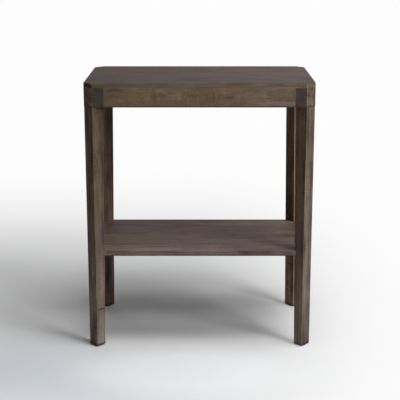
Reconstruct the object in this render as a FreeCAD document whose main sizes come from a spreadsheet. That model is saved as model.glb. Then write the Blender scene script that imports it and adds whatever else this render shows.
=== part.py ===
import FreeCAD, Part
import math
import os
import re
import Sketcher

# End table with one shelf, in solid wood, millimetres.
#
# A thin top board lies on a frame of four rails. The two side rails run the whole depth of the
# table, so their end grain shows at the front and at the back, and the front and back rails are
# tenoned between them. The four corners of the top and of the frame are clipped at 45 degrees.
# Under each clipped corner stands a leg that is turned 45 degrees with it: its outer face is as
# wide as the clipped corner and flush with it, and its inner face tapers towards the foot. A stub
# tenon on its upper end stands in a mortise of the side rail, and a bolt runs down through both.
# The shelf is notched round the inner part of the four legs and held by a dowel in each of them.
#
# Origin: the middle of the table's footprint, on the floor. +X to the right, +Y to the back, +Z up.

os.makedirs("parts", exist_ok=True)
doc = FreeCAD.newDocument("end_table")

# ---------------------------------------------------------------------------------------------
# Driving dimensions
# ---------------------------------------------------------------------------------------------

SIZES = {
    # the whole table
    "width": 508.0,
    "depth": 304.8,
    "height": 609.6,
    # top board
    "top_thick": 10.0,
    "top_round": 1.5,
    # rails of the frame
    "rail_tall": 42.5,
    "side_rail_thick": 45.0,
    "front_rail_thick": 22.0,
    "rail_ease": 1.0,
    # legs
    "leg_wide": 28.0,
    "leg_deep_top": 33.3,
    "leg_deep_foot": 22.7,
    "leg_ease": 1.0,
    "foot_ease": 1.5,
    # shelf
    "shelf_level": 226.5,
    "shelf_thick": 12.0,
    "shelf_inset": 15.5,
    "shelf_round": 2.0,
    "shelf_fit": 0.2,
    # tenons on the ends of the front and back rails
    "rail_tenon_long": 15.0,
    "rail_tenon_thick": 10.0,
    "rail_tenon_tall": 22.0,
    # stub tenon on the upper end of each leg
    "leg_tenon_wide": 14.0,
    "leg_tenon_deep": 20.0,
    "leg_tenon_tall": 12.0,
    # one bolt through each tenon holds the leg to its side rail
    "bolt_wide": 8.0,
    "bolt_long": 78.0,
    "bolt_head_flats": 13.0,
    "bolt_head_tall": 5.3,
    "washer_wide": 16.0,
    "washer_thick": 1.6,
    "bolt_sink_wide": 18.0,
    "bolt_sink_deep": 8.0,
    # screws that hold the top board from below, in the front and back rails
    "screw_wide": 4.0,
    "screw_long": 32.0,
    "screw_bite": 7.0,
    "screw_head_wide": 8.0,
    "screw_head_tall": 2.6,
    "screw_sink_wide": 9.5,
    "screw_pitch": 240.0,
    # dowels between the shelf and the legs
    "shelf_dowel_wide": 6.0,
    "shelf_dowel_long": 30.0,
    "shelf_dowel_in_leg": 12.0,
    # glides under the feet, each with a stem that is pressed into the leg
    "glide_wide": 18.0,
    "glide_thick": 2.0,
    "stem_wide": 5.0,
    "stem_long": 12.0,
    # clearances: round a shank or dowel, round a tenon, and beyond the end of either
    "bore_play": 0.05,
    "tenon_play": 0.1,
    "end_play": 1.0,
}

sheet = doc.addObject("Spreadsheet::Sheet", "sizes")
for row, (word, value) in enumerate(SIZES.items(), start=1):
    sheet.set(f"A{row}", word)
    sheet.set(f"B{row}", str(value))
    sheet.setAlias(f"B{row}", word)
doc.recompute()

# Heights and places that follow from the driving dimensions, as formulas of the sheet's words.
FRAME_LEVEL = "(height - top_thick - rail_tall)"
LEG_LONG = f"({FRAME_LEVEL} - glide_thick)"
CLIP = "(leg_wide * sqrt(0.5))"
RAIL_X = "(width / 2 - side_rail_thick)"
RAIL_Y = "(depth / 2 - front_rail_thick / 2)"
LEG_TAPER = f"((leg_deep_top - leg_deep_foot) / {LEG_LONG})"


def leg_depth_at(level):
    """The leg's depth at a height above the floor."""
    return f"(leg_deep_foot + {LEG_TAPER} * ({level} - glide_thick))"


def on_leg(side, inset):
    """X or Y of the point that lies inset behind the middle of a leg's outer face."""
    return f"({side} / 2 - {CLIP} / 2 - {inset} * sqrt(0.5))"


SHELF_MIDDLE = "(shelf_level - shelf_thick / 2)"
NOTCH_DEPTH = f"({leg_depth_at('shelf_level')} + shelf_fit)"
GLIDE_INSET = "(leg_deep_foot / 2)"
TENON_INSET = "(leg_deep_top / 2)"

# ---------------------------------------------------------------------------------------------
# Helpers: a body's planes, sketches and features, all bound to the sheet
# ---------------------------------------------------------------------------------------------


def formula(text):
    """A formula in plain size words, as an expression that reads the sheet."""
    return re.sub(r"\b(" + "|".join(SIZES) + r")\b", r"sizes.\1", text)


def bind(item, prop, text):
    item.setExpression(prop, formula(text))


UPRIGHT = FreeCAD.Vector(0, 0, 1)


def inward_angle(sx, sy):
    """The angle from +X, in degrees, of the diagonal that runs inwards from a corner."""
    x, y = (1 if sign == "-" else -1 for sign in (sx, sy))
    return math.degrees(math.atan2(y, x))


def new_body(label, x="0", y="0", z="0", turn=0.0):
    """A body that stands at (x, y, z), turned about the vertical by a number of degrees."""
    body = doc.addObject("PartDesign::Body", label)
    body.Label = label
    body.Placement = FreeCAD.Placement(FreeCAD.Vector(), FreeCAD.Rotation(UPRIGHT, turn))
    for axis, text in zip("xyz", (x, y, z)):
        bind(body, f"Placement.Base.{axis}", text)
    return body


def plane(body, role):
    """One of the body's own origin planes."""
    for feature in body.Origin.OriginFeatures:
        if feature.Role == role:
            return feature
    raise ValueError(role)


def sketch_on(body, name, role, shift=("0", "0", "0"), turn=None):
    """An empty sketch on an origin plane, shifted along the plane's own two axes and its normal."""
    sketch = body.newObject("Sketcher::SketchObject", f"{body.Name}_{name}")
    sketch.AttachmentSupport = [(plane(body, role), "")]
    sketch.MapMode = "FlatFace"
    if turn is not None:
        axis, degrees = turn
        rotation = FreeCAD.Rotation(FreeCAD.Vector(*axis), degrees)
        sketch.AttachmentOffset = FreeCAD.Placement(FreeCAD.Vector(), rotation)
    for axis, text in zip("xyz", shift):
        bind(sketch, f"AttachmentOffset.Base.{axis}", text)
    return sketch


def hold(sketch, geometry, point, start, place):
    """Dimensions one point of a sketch from its origin, along both axes."""
    x, y = place
    for kind, number, text in (("DistanceX", start.x, x), ("DistanceY", start.y, y)):
        index = sketch.addConstraint(Sketcher.Constraint(kind, -1, 1, geometry, point, number))
        bind(sketch, f"Constraints[{index}]", text)


def outline(sketch, corners):
    """A closed outline of straight lines through corners, each a pair of formulas."""
    count = len(corners)
    first = sketch.GeometryCount
    angles = [2 * math.pi * (i + 0.3) / count for i in range(count)]
    ring = [FreeCAD.Vector(10 * math.cos(a), 10 * math.sin(a), 0) for a in angles]
    sketch.addGeometry([Part.LineSegment(ring[i], ring[(i + 1) % count]) for i in range(count)])
    for i in range(count):
        following = first + (i + 1) % count
        sketch.addConstraint(Sketcher.Constraint("Coincident", first + i, 2, following, 1))
    for i, corner in enumerate(corners):
        hold(sketch, first + i, 1, ring[i], corner)


def rectangle(sketch, x, y, wide, tall):
    """A rectangle about the point (x, y)."""
    left, right = f"{x} - ({wide}) / 2", f"{x} + ({wide}) / 2"
    low, high = f"{y} - ({tall}) / 2", f"{y} + ({tall}) / 2"
    outline(sketch, [(left, low), (right, low), (right, high), (left, high)])


def circle(sketch, x, y, diameter):
    start = FreeCAD.Vector(5, 5, 0)
    index = sketch.addGeometry(Part.Circle(start, UPRIGHT, 2))
    hold(sketch, index, 3, start, (x, y))
    size = sketch.addConstraint(Sketcher.Constraint("Diameter", index, 4.0))
    bind(sketch, f"Constraints[{size}]", diameter)


def pad(body, sketch, length, name, symmetric=False):
    feature = body.newObject("PartDesign::Pad", f"{body.Name}_{name}")
    feature.Profile = (sketch, [""])
    if symmetric:
        feature.SideType = "Symmetric"
    bind(feature, "Length", length)
    return feature


def pocket(body, sketch, name, deep=None, along_normal=False):
    """Cuts a sketch into the body against the sketch's normal, or along it, to a depth or right through."""
    feature = body.newObject("PartDesign::Pocket", f"{body.Name}_{name}")
    feature.Profile = (sketch, [""])
    feature.Reversed = along_normal
    if deep is None:
        feature.Type = "ThroughAll"
    else:
        bind(feature, "Length", deep)
    return feature


def revolution(body, sketch, axis, name):
    """Turns a half profile once round the sketch's V_Axis or H_Axis."""
    feature = body.newObject("PartDesign::Revolution", f"{body.Name}_{name}")
    feature.Profile = (sketch, [""])
    feature.ReferenceAxis = (sketch, [axis])
    feature.Angle = 360
    return feature


def edges_of(feature, wanted):
    """The names of the edges of a finished feature that pass a test."""
    return [f"Edge{i}" for i, edge in enumerate(feature.Shape.Edges, start=1) if wanted(edge)]


def dress(body, kind, name, size, wanted):
    """A fillet or chamfer of one size on the edges of the body that pass a test."""
    doc.recompute()
    base = body.Tip
    edges = edges_of(base, wanted)
    feature = body.newObject(f"PartDesign::{kind}", f"{body.Name}_{name}")
    feature.Base = (base, edges)
    bind(feature, "Radius" if kind == "Fillet" else "Size", size)
    return feature


def to_four_corners(body, originals):
    """Repeats features of the back right corner in the other three, as mirror images."""
    steps = []
    for role in ("YZ_Plane", "XZ_Plane"):
        mirror = doc.addObject("PartDesign::Mirrored", f"{body.Name}_mirrored_{role[:2]}")
        mirror.MirrorPlane = (plane(body, role), [""])
        steps.append(mirror)
    feature = body.newObject("PartDesign::MultiTransform", f"{body.Name}_all")
    feature.Originals = originals
    feature.Transformations = steps
    body.Tip = feature
    return feature


def is_level(edge, height):
    box = edge.BoundBox
    return abs(box.ZMin - height) < 1e-4 and abs(box.ZMax - height) < 1e-4


def is_upright(edge):
    box = edge.BoundBox
    return box.ZLength > 1.0 and box.XLength < 1e-4 and box.YLength < 1e-4


def size_of(word):
    return float(sheet.get(word))


# ---------------------------------------------------------------------------------------------
# Top board: an eight-sided panel, its upper edge rounded over, with blind holes for the screws
# ---------------------------------------------------------------------------------------------

SCREW_X = "(screw_pitch / 2)"


def clipped_rectangle(width, depth, clip):
    """The eight corners of a rectangle whose own corners are clipped at 45 degrees."""
    x, y = f"{width} / 2", f"{depth} / 2"
    corners = []
    for sx, sy, flip in (("", "", False), ("-", "", True), ("-", "-", False), ("", "-", True)):
        along = (f"{sx}({x})", f"{sy}({y} - {clip})")
        across = (f"{sx}({x} - {clip})", f"{sy}({y})")
        corners += [across, along] if flip else [along, across]
    return corners


def make_top_board():
    body = new_body("top_board", z=f"{FRAME_LEVEL} + rail_tall")
    board = sketch_on(body, "outline", "XY_Plane")
    outline(board, clipped_rectangle("width", "depth", CLIP))
    pad(body, board, "top_thick", "board")
    dress(body, "Fillet", "round", "top_round", lambda edge: is_level(edge, size_of("top_thick")))
    holes = sketch_on(body, "screw_holes", "XY_Plane")
    for sx in ("", "-"):
        for sy in ("", "-"):
            circle(holes, f"{sx}{SCREW_X}", f"{sy}{RAIL_Y}", "screw_wide + 2 * bore_play")
    pocket(body, holes, "screw_bores", "screw_bite + bore_play", along_normal=True)
    return body


# ---------------------------------------------------------------------------------------------
# Rails. A side rail runs the whole depth and carries two legs; its inner face is at X = 0 in its
# own frame. The front and back rails stand between the side rails.
# ---------------------------------------------------------------------------------------------

RAIL_MIDDLE = "(rail_tall / 2)"


def make_side_rail(name, sign, turn):
    body = new_body(name, x=f"{sign}{RAIL_X}", z=FRAME_LEVEL, turn=turn)
    outer, end = "side_rail_thick", "depth / 2"
    plan = sketch_on(body, "outline", "XY_Plane")
    outline(plan, [
        ("0", f"-{end}"),
        (f"{outer} - {CLIP}", f"-{end}"),
        (outer, f"-({end} - {CLIP})"),
        (outer, f"{end} - {CLIP}"),
        (f"{outer} - {CLIP}", end),
        ("0", end),
    ])
    pad(body, plan, "rail_tall", "rail")
    dress(body, "Fillet", "arris", "leg_ease", lambda edge: is_upright(edge) and edge.BoundBox.XMin > 1.0)
    dress(body, "Chamfer", "ease", "rail_ease", lambda edge: is_level(edge, 0) and edge.BoundBox.XMax > 1e-4)

    # mortises for the tenons of the front and back rails, in the inner face
    inner_face = sketch_on(body, "rail_mortises", "YZ_Plane")
    for sy in ("-", ""):
        rectangle(inner_face, f"{sy}{RAIL_Y}", RAIL_MIDDLE,
                  "rail_tenon_thick + 2 * tenon_play", "rail_tenon_tall + 2 * tenon_play")
    pocket(body, inner_face, "rail_mortise_cut", "rail_tenon_long + end_play", along_normal=True)

    # at each end a mortise for the leg's tenon, the bolt's hole and the sink for its head
    bolt_x = f"({outer} - {CLIP} / 2 - {TENON_INSET} * sqrt(0.5))"
    shanks = sketch_on(body, "bolt_holes", "XY_Plane")
    sinks = sketch_on(body, "bolt_sinks", "XY_Plane", shift=("0", "0", "rail_tall"))
    for number, sy in enumerate(("-", ""), start=1):
        bolt_y = f"{sy}{on_leg('depth', TENON_INSET)}"
        mortise = sketch_on(body, f"leg_mortise_{number}", "XY_Plane", shift=(bolt_x, bolt_y, "0"),
                            turn=((0, 0, 1), inward_angle("", sy) - 90))
        rectangle(mortise, "0", "0", "leg_tenon_wide + 2 * tenon_play", "leg_tenon_deep + 2 * tenon_play")
        pocket(body, mortise, f"leg_mortise_cut_{number}", "leg_tenon_tall + end_play", along_normal=True)
        circle(shanks, bolt_x, bolt_y, "bolt_wide + 2 * bore_play")
        circle(sinks, bolt_x, bolt_y, "bolt_sink_wide")
    pocket(body, shanks, "bolt_cut", along_normal=True)
    pocket(body, sinks, "bolt_sink_cut", "bolt_sink_deep")
    return body


SCREW_SHANK = "(screw_long - screw_bite)"
SCREW_SINK = f"(rail_tall - {SCREW_SHANK})"


def make_cross_rail(name, sign, turn):
    """The front or the back rail: a bar with a tenon on each end and sunk holes for the top's screws."""
    body = new_body(name, y=f"{sign}{RAIL_Y}", z=FRAME_LEVEL, turn=turn)
    plan = sketch_on(body, "outline", "XY_Plane")
    rectangle(plan, "0", "0", f"2 * {RAIL_X}", "front_rail_thick")
    pad(body, plan, "rail_tall", "rail")
    dress(body, "Chamfer", "ease", "rail_ease", lambda edge: is_level(edge, 0) and edge.BoundBox.XLength > 1.0)
    tenon = sketch_on(body, "tenon", "YZ_Plane")
    rectangle(tenon, "0", RAIL_MIDDLE, "rail_tenon_thick", "rail_tenon_tall")
    pad(body, tenon, f"2 * ({RAIL_X} + rail_tenon_long)", "tenons", symmetric=True)
    sinks = sketch_on(body, "screw_sinks", "XY_Plane")
    shanks = sketch_on(body, "screw_shanks", "XY_Plane")
    for sx in ("-", ""):
        circle(sinks, f"{sx}{SCREW_X}", "0", "screw_sink_wide")
        circle(shanks, f"{sx}{SCREW_X}", "0", "screw_wide + 2 * bore_play")
    pocket(body, sinks, "sink_cut", SCREW_SINK, along_normal=True)
    pocket(body, shanks, "shank_cut", along_normal=True)
    return body


# ---------------------------------------------------------------------------------------------
# Legs. In its own frame a leg's outer face lies at Y = 0 with its middle at X = 0, +Y points to
# the middle of the table and Z starts at the leg's lower end.
# ---------------------------------------------------------------------------------------------

BOLT_IN_LEG = "(bolt_long - (rail_tall - bolt_sink_deep) - washer_thick)"


def make_leg(name, sx, sy):
    body = new_body(name, f"{sx}(width / 2 - {CLIP} / 2)", f"{sy}(depth / 2 - {CLIP} / 2)", "glide_thick",
                    inward_angle(sx, sy) - 90)
    side = sketch_on(body, "side", "YZ_Plane")
    outline(side, [("0", "0"), ("leg_deep_foot", "0"), ("leg_deep_top", LEG_LONG), ("0", LEG_LONG)])
    pad(body, side, "leg_wide", "post", symmetric=True)
    half_long = size_of("leg_wide") * 2
    dress(body, "Chamfer", "foot", "foot_ease", lambda edge: is_level(edge, 0))
    dress(body, "Fillet", "arris", "leg_ease", lambda edge: edge.BoundBox.ZLength > half_long)

    tenon = sketch_on(body, "tenon", "XY_Plane", shift=("0", "0", LEG_LONG))
    rectangle(tenon, "0", TENON_INSET, "leg_tenon_wide", "leg_tenon_deep")
    pad(body, tenon, "leg_tenon_tall", "stub")
    bolt = sketch_on(body, "bolt_hole", "XY_Plane", shift=("0", "0", f"{LEG_LONG} + leg_tenon_tall"))
    circle(bolt, "0", TENON_INSET, "bolt_wide + 2 * bore_play")
    pocket(body, bolt, "bolt_cut", f"leg_tenon_tall + {BOLT_IN_LEG} + end_play")

    floor_of_hole = f"-({leg_depth_at(SHELF_MIDDLE)} - shelf_dowel_in_leg - end_play)"
    shelf_pin = sketch_on(body, "shelf_pin_hole", "XZ_Plane", shift=("0", "0", floor_of_hole))
    circle(shelf_pin, "0", f"{SHELF_MIDDLE} - glide_thick", "shelf_dowel_wide + 2 * bore_play")
    pocket(body, shelf_pin, "shelf_pin_cut")

    stem = sketch_on(body, "stem_hole", "XY_Plane")
    circle(stem, "0", GLIDE_INSET, "stem_wide + 2 * bore_play")
    pocket(body, stem, "stem_cut", "stem_long + end_play", along_normal=True)
    return body


# ---------------------------------------------------------------------------------------------
# Shelf: inset from the frame all round, with a notch at each corner that follows the leg's inner
# face and wraps a little way along both its sides
# ---------------------------------------------------------------------------------------------


def shelf_corner(sx, sy):
    """The four points of one notched corner, from the front or back edge round to the side edge."""
    slack = "shelf_fit * sqrt(2)"
    near = f"({NOTCH_DEPTH} + shelf_fit + leg_wide) * sqrt(0.5)"
    far = f"({NOTCH_DEPTH} - shelf_fit) * sqrt(0.5)"
    edge = "shelf_inset"
    return [
        (f"{sx}(width / 2 - {CLIP} - {edge} - {slack})", f"{sy}(depth / 2 - {edge})"),
        (f"{sx}(width / 2 - {near})", f"{sy}(depth / 2 - {far})"),
        (f"{sx}(width / 2 - {far})", f"{sy}(depth / 2 - {near})"),
        (f"{sx}(width / 2 - {edge})", f"{sy}(depth / 2 - {CLIP} - {edge} - {slack})"),
    ]


def make_shelf():
    body = new_body("shelf", z="shelf_level - shelf_thick")
    board = sketch_on(body, "outline", "XY_Plane")
    corners = shelf_corner("", "") + shelf_corner("", "-")[::-1]
    corners += shelf_corner("-", "-") + shelf_corner("-", "")[::-1]
    outline(board, corners)
    pad(body, board, "shelf_thick", "board")
    long_edge = size_of("leg_wide") * 2
    dress(body, "Fillet", "round", "shelf_round",
          lambda edge: is_level(edge, size_of("shelf_thick")) and edge.Length > long_edge)
    dress(body, "Chamfer", "ease", "rail_ease",
          lambda edge: is_level(edge, 0) and edge.Length > long_edge)
    sunk = "(shelf_dowel_long - shelf_dowel_in_leg)"
    reach = f"({NOTCH_DEPTH} + {sunk} + end_play)"
    for name, sx, sy in CORNERS:
        bore = body.newObject("PartDesign::SubtractiveCylinder", f"shelf_pin_bore_{name}")
        bore.AttachmentSupport = [(plane(body, "XY_Plane"), "")]
        bore.MapMode = "FlatFace"
        to_leg = FreeCAD.Rotation(UPRIGHT, inward_angle(sx, sy)).multVec(FreeCAD.Vector(-1, 0, 0))
        bore.AttachmentOffset = FreeCAD.Placement(FreeCAD.Vector(), FreeCAD.Rotation(UPRIGHT, to_leg))
        bind(bore, "AttachmentOffset.Base.x", f"{sx}{on_leg('width', reach)}")
        bind(bore, "AttachmentOffset.Base.y", f"{sy}{on_leg('depth', reach)}")
        bind(bore, "AttachmentOffset.Base.z", "shelf_thick / 2")
        bind(bore, "Radius", "shelf_dowel_wide / 2 + bore_play")
        bind(bore, "Height", f"{sunk} + 2 * end_play")
    return body


# ---------------------------------------------------------------------------------------------
# Dowels, bolts, washers, screws and glides. A group of identical fasteners is one body: the one in
# the back right corner is turned from its half profile and mirrored to the other three corners.
# ---------------------------------------------------------------------------------------------

VERTICAL, LEVEL = "V_Axis", "H_Axis"


def upright_at(body, name, inset, level):
    """A sketch for a half profile that stands on a leg's middle plane, at a depth behind its outer face."""
    return sketch_on(body, name, "XZ_Plane", shift=(on_leg("width", inset), level, f"-{on_leg('depth', inset)}"))


SINK_FLOOR = "(height - top_thick - bolt_sink_deep)"


def make_leg_bolts():
    """Hexagon-headed wood bolts, heads up in the sinks of the side rails."""
    body = new_body("leg_bolts")
    tip = f"({SINK_FLOOR} + washer_thick - bolt_long)"
    half = upright_at(body, "half", TENON_INSET, tip)
    outline(half, [("0", "0"), ("bolt_wide / 2", "0"), ("bolt_wide / 2", "bolt_long"), ("0", "bolt_long")])
    shank = revolution(body, half, VERTICAL, "shank")
    head_level = f"({SINK_FLOOR} + washer_thick)"
    hexagon = sketch_on(body, "hexagon", "XY_Plane",
                        shift=(on_leg("width", TENON_INSET), on_leg("depth", TENON_INSET), head_level))
    across = "bolt_head_flats / 2"
    corners = []
    for sx, sy in (("", ""), ("-", ""), ("-", "-"), ("", "-")):
        upper = (f"{sx}({across} * tan(30))", f"{sy}({across})")
        outer = (f"{sx}({across} / cos(30))", "0")
        corners.append(upper)
        if (sx, sy) in (("-", ""), ("", "-")):
            corners.append(outer)
    outline(hexagon, corners)
    head = pad(body, hexagon, "bolt_head_tall", "head")
    to_four_corners(body, [shank, head])
    return body


def make_bolt_washers():
    body = new_body("bolt_washers")
    half = upright_at(body, "half", TENON_INSET, SINK_FLOOR)
    inner, outer = "bolt_wide / 2 + bore_play", "washer_wide / 2"
    outline(half, [(inner, "0"), (outer, "0"), (outer, "washer_thick"), (inner, "washer_thick")])
    to_four_corners(body, [revolution(body, half, VERTICAL, "ring")])
    return body


def make_top_screws():
    """Screws with low heads that bear on the floors of their sinks."""
    body = new_body("top_screws")
    seat = f"{FRAME_LEVEL} + {SCREW_SINK}"
    half = sketch_on(body, "half", "XZ_Plane", shift=(SCREW_X, seat, f"-{RAIL_Y}"))
    radius, head = "screw_wide / 2", "screw_head_wide / 2"
    outline(half, [
        ("0", "screw_long"), ("0", "-screw_head_tall"), (head, "-screw_head_tall"), (head, "0"),
        (radius, "0"), (radius, "screw_long"),
    ])
    to_four_corners(body, [revolution(body, half, VERTICAL, "screw")])
    return body


def make_shelf_dowels():
    """Dowels on the diagonals, from each leg's inner face into the shelf's corner."""
    body = new_body("shelf_dowels")
    inner = f"({leg_depth_at(SHELF_MIDDLE)} - shelf_dowel_in_leg)"
    start = (on_leg("width", inner), SHELF_MIDDLE, f"-{on_leg('depth', inner)}")
    half = sketch_on(body, "half", "XZ_Plane", shift=start, turn=((0, 1, 0), inward_angle("", "")))
    radius = "shelf_dowel_wide / 2"
    outline(half, [("0", "0"), ("shelf_dowel_long", "0"), ("shelf_dowel_long", radius), ("0", radius)])
    to_four_corners(body, [revolution(body, half, LEVEL, "dowel")])
    return body


def make_glide(name, sx, sy):
    """A round glide under one foot, with its stem."""
    body = new_body(name, f"{sx}{on_leg('width', GLIDE_INSET)}", f"{sy}{on_leg('depth', GLIDE_INSET)}")
    half = sketch_on(body, "half", "XZ_Plane")
    rim, stem, tip = "glide_wide / 2", "stem_wide / 2", "glide_thick + stem_long"
    outline(half, [
        ("0", "0"), (rim, "0"), (rim, "glide_thick"), (stem, "glide_thick"), (stem, tip), ("0", tip),
    ])
    revolution(body, half, VERTICAL, "disc")
    return body


# ---------------------------------------------------------------------------------------------
# The table
# ---------------------------------------------------------------------------------------------

# each corner: name, and the signs of its X and Y
CORNERS = (
    ("back_right", "", ""),
    ("back_left", "-", ""),
    ("front_right", "", "-"),
    ("front_left", "-", "-"),
)

subparts = [
    make_top_board(),
    make_side_rail("right_rail", "", 0.0),
    make_side_rail("left_rail", "-", 180.0),
    make_cross_rail("back_rail", "", 0.0),
    make_cross_rail("front_rail", "-", 180.0),
]
for corner, sx, sy in CORNERS:
    subparts.append(make_leg(f"leg_{corner}", sx, sy))
    subparts.append(make_glide(f"glide_{corner}", sx, sy))
subparts += [
    make_shelf(),
    make_leg_bolts(),
    make_bolt_washers(),
    make_top_screws(),
    make_shelf_dowels(),
]
doc.recompute()

# ---------------------------------------------------------------------------------------------
# Checks, then one STEP file for each sub-part
# ---------------------------------------------------------------------------------------------

REMOVES_WOOD = ("PartDesign::Pocket", "PartDesign::SubtractiveCylinder", "PartDesign::Chamfer", "PartDesign::Fillet")

for item in doc.Objects:
    if {"Invalid", "Error"} & set(item.State):
        raise RuntimeError(f"{item.Name} failed: {item.State}")
    if item.TypeId in REMOVES_WOOD:
        before = item.BaseFeature.Shape.Volume
        if not before / 2 < item.Shape.Volume < before - 1.0:
            raise RuntimeError(f"{item.Name} cuts nothing, or too much")

for body in subparts:
    if body.Shape.isNull() or not body.Shape.isValid():
        raise RuntimeError(f"{body.Label} has no valid shape")
    body.Shape.exportStep(f"parts/{body.Label}.step")
    box = body.Shape.BoundBox
    print(f"{body.Label}: {len(body.Shape.Solids)} solid(s), {body.Shape.Volume / 1000:.1f} cm3, "
          f"z {box.ZMin:.1f} to {box.ZMax:.1f}")
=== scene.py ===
# %% [markdown]
# # An end table with one shelf
#
# The table is small and plain, in dark stained wood: a thin top with clipped corners on a frame of
# four rails, four tapered legs set diagonally under the clipped corners, and a shelf notched
# round the legs. Its sizes and joints come from the CAD frame. This lesson gives it what a
# cabinet maker's hands and the finishing shop add: grain, stain, eased and worn edges, screws
# with threads, and then the studio.
#
# Everything is in metres, with X to the right, Y to the back and Z up from the floor.

# %% Load the frame
import math

import bpy
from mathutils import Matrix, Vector


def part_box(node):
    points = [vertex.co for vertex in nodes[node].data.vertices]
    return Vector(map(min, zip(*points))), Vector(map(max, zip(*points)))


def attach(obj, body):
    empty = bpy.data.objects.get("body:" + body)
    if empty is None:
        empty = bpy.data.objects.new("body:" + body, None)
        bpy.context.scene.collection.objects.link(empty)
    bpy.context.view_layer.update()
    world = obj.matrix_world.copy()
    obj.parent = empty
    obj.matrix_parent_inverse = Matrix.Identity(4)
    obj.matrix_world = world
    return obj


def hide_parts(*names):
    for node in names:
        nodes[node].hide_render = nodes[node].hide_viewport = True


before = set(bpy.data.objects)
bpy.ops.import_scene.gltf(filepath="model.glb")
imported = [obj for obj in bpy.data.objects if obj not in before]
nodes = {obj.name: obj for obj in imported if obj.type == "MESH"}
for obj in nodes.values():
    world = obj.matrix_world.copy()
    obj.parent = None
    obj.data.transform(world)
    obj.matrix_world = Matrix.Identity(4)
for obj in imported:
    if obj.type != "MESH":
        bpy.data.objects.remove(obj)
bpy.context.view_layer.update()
scene = bpy.context.scene

# %% [markdown]
# ## Measure the table
#
# A joiner takes the lengths for the next piece from the work on the bench, not from memory. We
# do the same: the boxes of the CAD nodes give every size that the grain, the edge wear and the
# new pieces need, so they stay right if the table is built wider or taller. Only the section of
# a leg is written down, because a leg stands diagonally and its box doesn't show it.

# %% Sizes taken from the frame
top_low, top_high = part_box("top_board")
rail_low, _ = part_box("front_rail")
shelf_low, shelf_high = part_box("shelf")
leg_low, leg_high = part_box("leg_back_right")

HALF_WIDTH, HALF_DEPTH, HEIGHT = top_high
FRAME_LEVEL = rail_low.z
LEG_WIDE, LEG_DEEP_TOP, LEG_DEEP_FOOT = 0.028, 0.0333, 0.0227
CLIP = LEG_WIDE * math.sqrt(0.5)
CORNERS = {"front_left": (-1, -1), "front_right": (1, -1), "back_left": (-1, 1), "back_right": (1, 1)}


def quarter_box(node):
    """The box of what a node has in the back right quarter, where it has one thing in each."""
    points = [v.co for v in nodes[node].data.vertices if v.co.x > 0 and v.co.y > 0]
    return (Vector([min(p[i] for p in points) for i in range(3)]),
            Vector([max(p[i] for p in points) for i in range(3)]))


print("half sizes", round(HALF_WIDTH, 4), round(HALF_DEPTH, 4), "frame at", round(FRAME_LEVEL, 4))

# %% [markdown]
# ## Sums in a node tree
#
# A material or a shape made of nodes is a recipe, and most of its steps are sums. A `Number` is
# a value in it: when the script adds, multiplies or divides one, a Math node goes into the tree, so
# a rule is written as on paper. `add` puts any node down and fills its inputs.

# %% Numbers, and nodes
class Number:
    """A value in a node tree; a sum with it puts a Math node into the tree."""

    def __init__(self, tree, socket):
        self.tree, self.socket = tree, socket

    def __rsub__(self, other):
        return calc(self.tree, "SUBTRACT", other, self)

    def __abs__(self):
        return calc(self.tree, "ABSOLUTE", self)


SIGNS = {"add": "ADD", "sub": "SUBTRACT", "mul": "MULTIPLY", "truediv": "DIVIDE", "pow": "POWER"}
for sign, operation in SIGNS.items():
    setattr(Number, f"__{sign}__", lambda self, other, kind=operation: calc(self.tree, kind, self, other))


def plug(tree, socket, value):
    """Joins a value of the tree to a socket, or writes a plain one; a node stands for its first output."""
    if isinstance(value, Number):
        value = value.socket
    if isinstance(value, bpy.types.Node):
        value = value.outputs[0]
    if isinstance(value, bpy.types.NodeSocket):
        tree.links.new(value, socket)
    else:
        socket.default_value = value


def add(tree, kind, inputs=None, **settings):
    """A new node with its settings, and its inputs filled by name or number."""
    made = tree.nodes.new(kind)
    for name, value in settings.items():
        setattr(made, name, value)
    for name, value in (inputs or {}).items():
        plug(tree, made.inputs[name], value)
    return made


def calc(tree, operation, *values, clamp=False):
    """One step of arithmetic."""
    made = add(tree, "ShaderNodeMath", dict(enumerate(values)), operation=operation, use_clamp=clamp)
    return Number(tree, made.outputs[0])


print("sums ready")

# %% [markdown]
# Vectors have nodes of their own, and a Map Range node turns one range of numbers into another,
# with a soft step between. `new_group` opens a group whose inputs and outputs have names, as the
# knobs on a machine do. The plain value of an input says what kind of input it is.

# %% Vectors, steps and groups
SOCKET_KINDS = {float: "Float", int: "Int", tuple: "Vector", bpy.types.Material: "Material"}
ORIGIN = (0.0, 0.0, 0.0)


def vector(tree, operation, *values):
    """One step of vector arithmetic."""
    return add(tree, "ShaderNodeVectorMath", dict(enumerate(values)), operation=operation)


def split(tree, value):
    """The X, Y and Z of a vector, by name."""
    return {s.name: Number(tree, s) for s in add(tree, "ShaderNodeSeparateXYZ", {0: value}).outputs}


def combine(tree, x=0.0, y=0.0, z=0.0):
    """A vector of three numbers."""
    return add(tree, "ShaderNodeCombineXYZ", {0: x, 1: y, 2: z})


def remap(tree, value, low, high, start=0.0, end=1.0, kind="SMOOTHSTEP"):
    """Start below low, end above high, and a soft step between."""
    settings = {"Value": value, "From Min": low, "From Max": high, "To Min": start, "To Max": end}
    made = add(tree, "ShaderNodeMapRange", settings, interpolation_type=kind)
    return Number(tree, made.outputs["Result"])


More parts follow.
